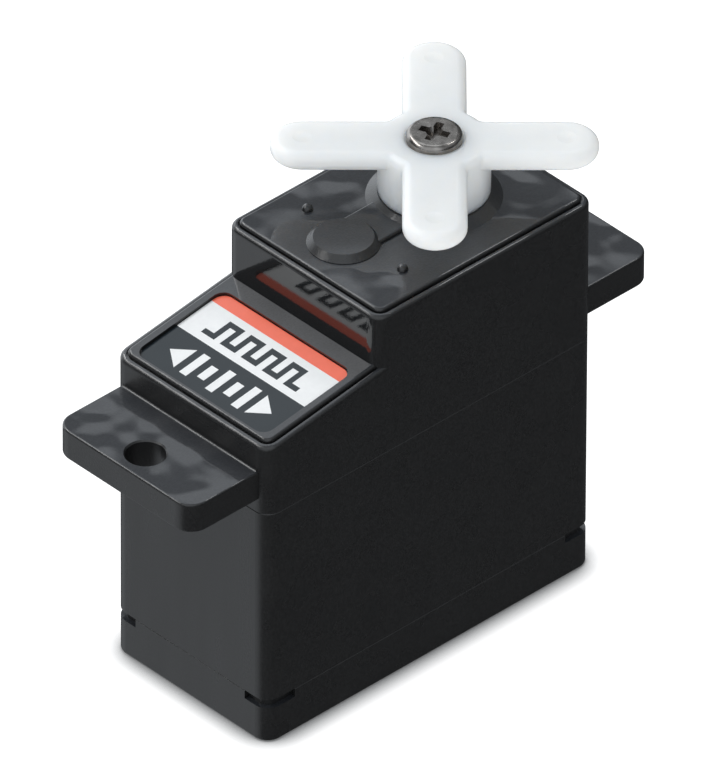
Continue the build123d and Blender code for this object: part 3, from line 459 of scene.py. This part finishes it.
def arrow(side):
    """Outline of the arrowhead beyond the bars on one side, -1 or 1."""
    foot = side * (ARROW_REACH - ARROW_LENGTH)
    half = side * ARROW_HEIGHT / 2
    return [(side * ARROW_REACH, 0), (foot, half), (foot, -half)]


def print_layer(bm, outline, centre_v, ink):
    """Add one thin printed prism to bm, resting on local z = 0."""
    low = [bm.verts.new((u, v + centre_v, 0)) for u, v in outline]
    high = [bm.verts.new((u, v + centre_v, INK_T)) for u, v in outline]
    faces = [bm.faces.new(low[::-1]), bm.faces.new(high)]
    for k in range(len(outline)):
        n = (k + 1) % len(outline)
        faces.append(bm.faces.new((low[k], low[n], high[n], high[k])))
    for face in faces:
        face.material_index = ink


def make_label():
    """The sticker: the CAD plate cut along its colour bands, with its marks printed on top."""
    inks = (LABEL_DARK, LABEL_WHITE, LABEL_RED)
    dark, white = inks.index(LABEL_DARK), inks.index(LABEL_WHITE)
    mesh = nodes["label_plate"].data.copy()
    mesh.name = "label_sticker"
    mesh.materials.clear()
    for ink in inks:
        mesh.materials.append(ink)
    bm = bmesh.new()
    bm.from_mesh(mesh)
    for cut in (RED_BAND_X, WHITE_BAND_X):
        bmesh.ops.bisect_plane(bm, geom=bm.verts[:] + bm.edges[:] + bm.faces[:],
                               plane_co=(cut, 0, 0), plane_no=(1, 0, 0))
    for face in bm.faces:
        x = face.calc_center_median().x
        face.material_index = (x > WHITE_BAND_X) + (x > RED_BAND_X)
    place, half_v = label_frame()
    bm.transform(place.inverted())
    white_v, red_v = climb_of(place, WHITE_BAND_X), climb_of(place, RED_BAND_X)
    print_layer(bm, pulse_line(), (white_v + red_v) / 2, dark)
    marks = [tick(k, height) for k, height in enumerate(TICK_HEIGHTS)] + [arrow(-1), arrow(1)]
    for mark in marks:
        print_layer(bm, mark, (white_v - half_v) / 2, white)
    bm.transform(place)
    bm.normal_update()
    bm.to_mesh(mesh)
    bm.free()
    sticker = add_object("label_sticker", mesh)
    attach(sticker, "case")
    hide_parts("label_plate")


# ---- floor ---------------------------------------------------------------------------------
FLOOR_HALF = 3.0
FLOOR_GREY = (0.3, 0.3, 0.3, 1)
FLOOR_ROUGH = 0.9
FLOOR_GLOW = 1.02
FLOOR_GLOW_TINT = (1, 1, 1, 1)
# Painted contact shadow: the glow left right at the object's foot, and how far and how softly the
# dimming reaches.
CONTACT_GLOW = 0.1
CONTACT_SHADE_REACH = 1.6 * MM
CONTACT_SHADE_SPAN = (0.5, 0.95)
CONTACT_SHADE_SAMPLES = 16


def make_floor():
    """Pale floor that glows evenly, with a painted contact shadow: the glow dims close round the
    object's foot.
    """
    mesh = bpy.data.meshes.new("floor")
    corners = [(-1, -1), (1, -1), (1, 1), (-1, 1)]
    mesh.from_pydata([(x * FLOOR_HALF, y * FLOOR_HALF, 0) for x, y in corners], [],
                     [(0, 1, 2, 3)])
    s = Shader("floor", Roughness=FLOOR_ROUGH, Base_Color=FLOOR_GREY,
               Emission_Color=FLOOR_GLOW_TINT)
    # Painted contact shadow: ambient occlusion dims the floor's glow near the object.
    shade = s.add("ShaderNodeAmbientOcclusion", samples=CONTACT_SHADE_SAMPLES)
    shade.inputs["Distance"].default_value = CONTACT_SHADE_REACH
    glow = s.span(shade.outputs["AO"], CONTACT_GLOW, FLOOR_GLOW, CONTACT_SHADE_SPAN)
    s.set("Emission Strength", glow)
    mesh.materials.append(s.material)
    floor = add_object("floor", mesh)
    floor.visible_glossy = False
    floor.visible_shadow = False


# ---- light ---------------------------------------------------------------------------------
LIGHT_AIM = Vector((0, 0, 12 * MM))
LIGHT_DISTANCE = 0.5
SKY_TINT = (0.95, 1.0, 1.05, 1)
WORLD_BASE = 0.07

# Pale parts of the studio: towards which direction, the cosines from it at which the part
# starts and is full, and its strength.
WORLD_LOBES = [
    ((0, 0, 1), 0.0, 0.5, 0.15),                # ceiling
    ((0.3, 0.5, 0.81), 0.938, 0.95, 0.95),      # window that the wavy gloss on the tops mirrors
    ((-0.55, 0.58, -0.6), 0.7, 0.97, 0.5),      # low card that the label end mirrors
    ((-0.75, -0.45, 0.5), 0.5, 0.95, 0.8),      # fill from the left
    ((0.2, -0.3, 0.93), 0.6, 0.9, 0.25),        # fill from overhead
    ((0.1, 0.97, 0.1), 0.8, 0.95, 1.5)]         # back light from the far side


def softbox(name, direction, width, height, watts):
    """Rectangular area light that faces the object from a direction."""
    data = bpy.data.lights.new(name, "AREA")
    data.shape = "RECTANGLE"
    data.size = width
    data.size_y = height
    data.energy = watts
    light = add_object(name, data)
    away = Vector(direction).normalized()
    light.location = LIGHT_AIM + LIGHT_DISTANCE * away
    light.rotation_mode = "QUATERNION"
    light.rotation_quaternion = away.to_track_quat("Z", "Y")


def world_lobe(tree, direction, axis, start, full, strength):
    """Strength of one pale part of the studio, seen along direction."""
    dot = tree.nodes.new("ShaderNodeVectorMath")
    dot.operation = "DOT_PRODUCT"
    dot.inputs[1].default_value = Vector(axis).normalized()
    tree.links.new(direction, dot.inputs[0])
    lobe = tree.nodes.new("ShaderNodeMapRange")
    lobe.interpolation_type = "SMOOTHSTEP"
    lobe.inputs["From Min"].default_value = start
    lobe.inputs["From Max"].default_value = full
    lobe.inputs["To Max"].default_value = strength
    tree.links.new(dot.outputs["Value"], lobe.inputs["Value"])
    return lobe.outputs["Result"]


def make_world():
    """Studio surroundings: a dim base with the pale parts added to it."""
    world = bpy.data.worlds.new("studio")
    world.use_nodes = True
    bpy.context.scene.world = world
    tree = world.node_tree
    direction = tree.nodes.new("ShaderNodeTexCoord").outputs["Generated"]
    total, *others = [world_lobe(tree, direction, *lobe) for lobe in WORLD_LOBES]
    for lobe in others:
        plus = tree.nodes.new("ShaderNodeMath")
        tree.links.new(total, plus.inputs[0])
        tree.links.new(lobe, plus.inputs[1])
        total = plus.outputs[0]
    base = tree.nodes.new("ShaderNodeMath")
    base.inputs[1].default_value = WORLD_BASE
    tree.links.new(total, base.inputs[0])
    background = tree.nodes["Background"]
    background.inputs["Color"].default_value = SKY_TINT
    tree.links.new(base.outputs[0], background.inputs["Strength"])


# ---- the scene -----------------------------------------------------------------------------
make_camera()
finish_nodes()
make_label()
make_floor()
make_world()
softbox("key", direction=(-0.28, 0.58, 0.76), width=0.56, height=0.12, watts=1.15)
softbox("right_edge", direction=(0.55, 0.0, 0.83), width=0.08, height=0.08, watts=0.15)
bpy.context.scene.view_settings.view_transform = "Standard"
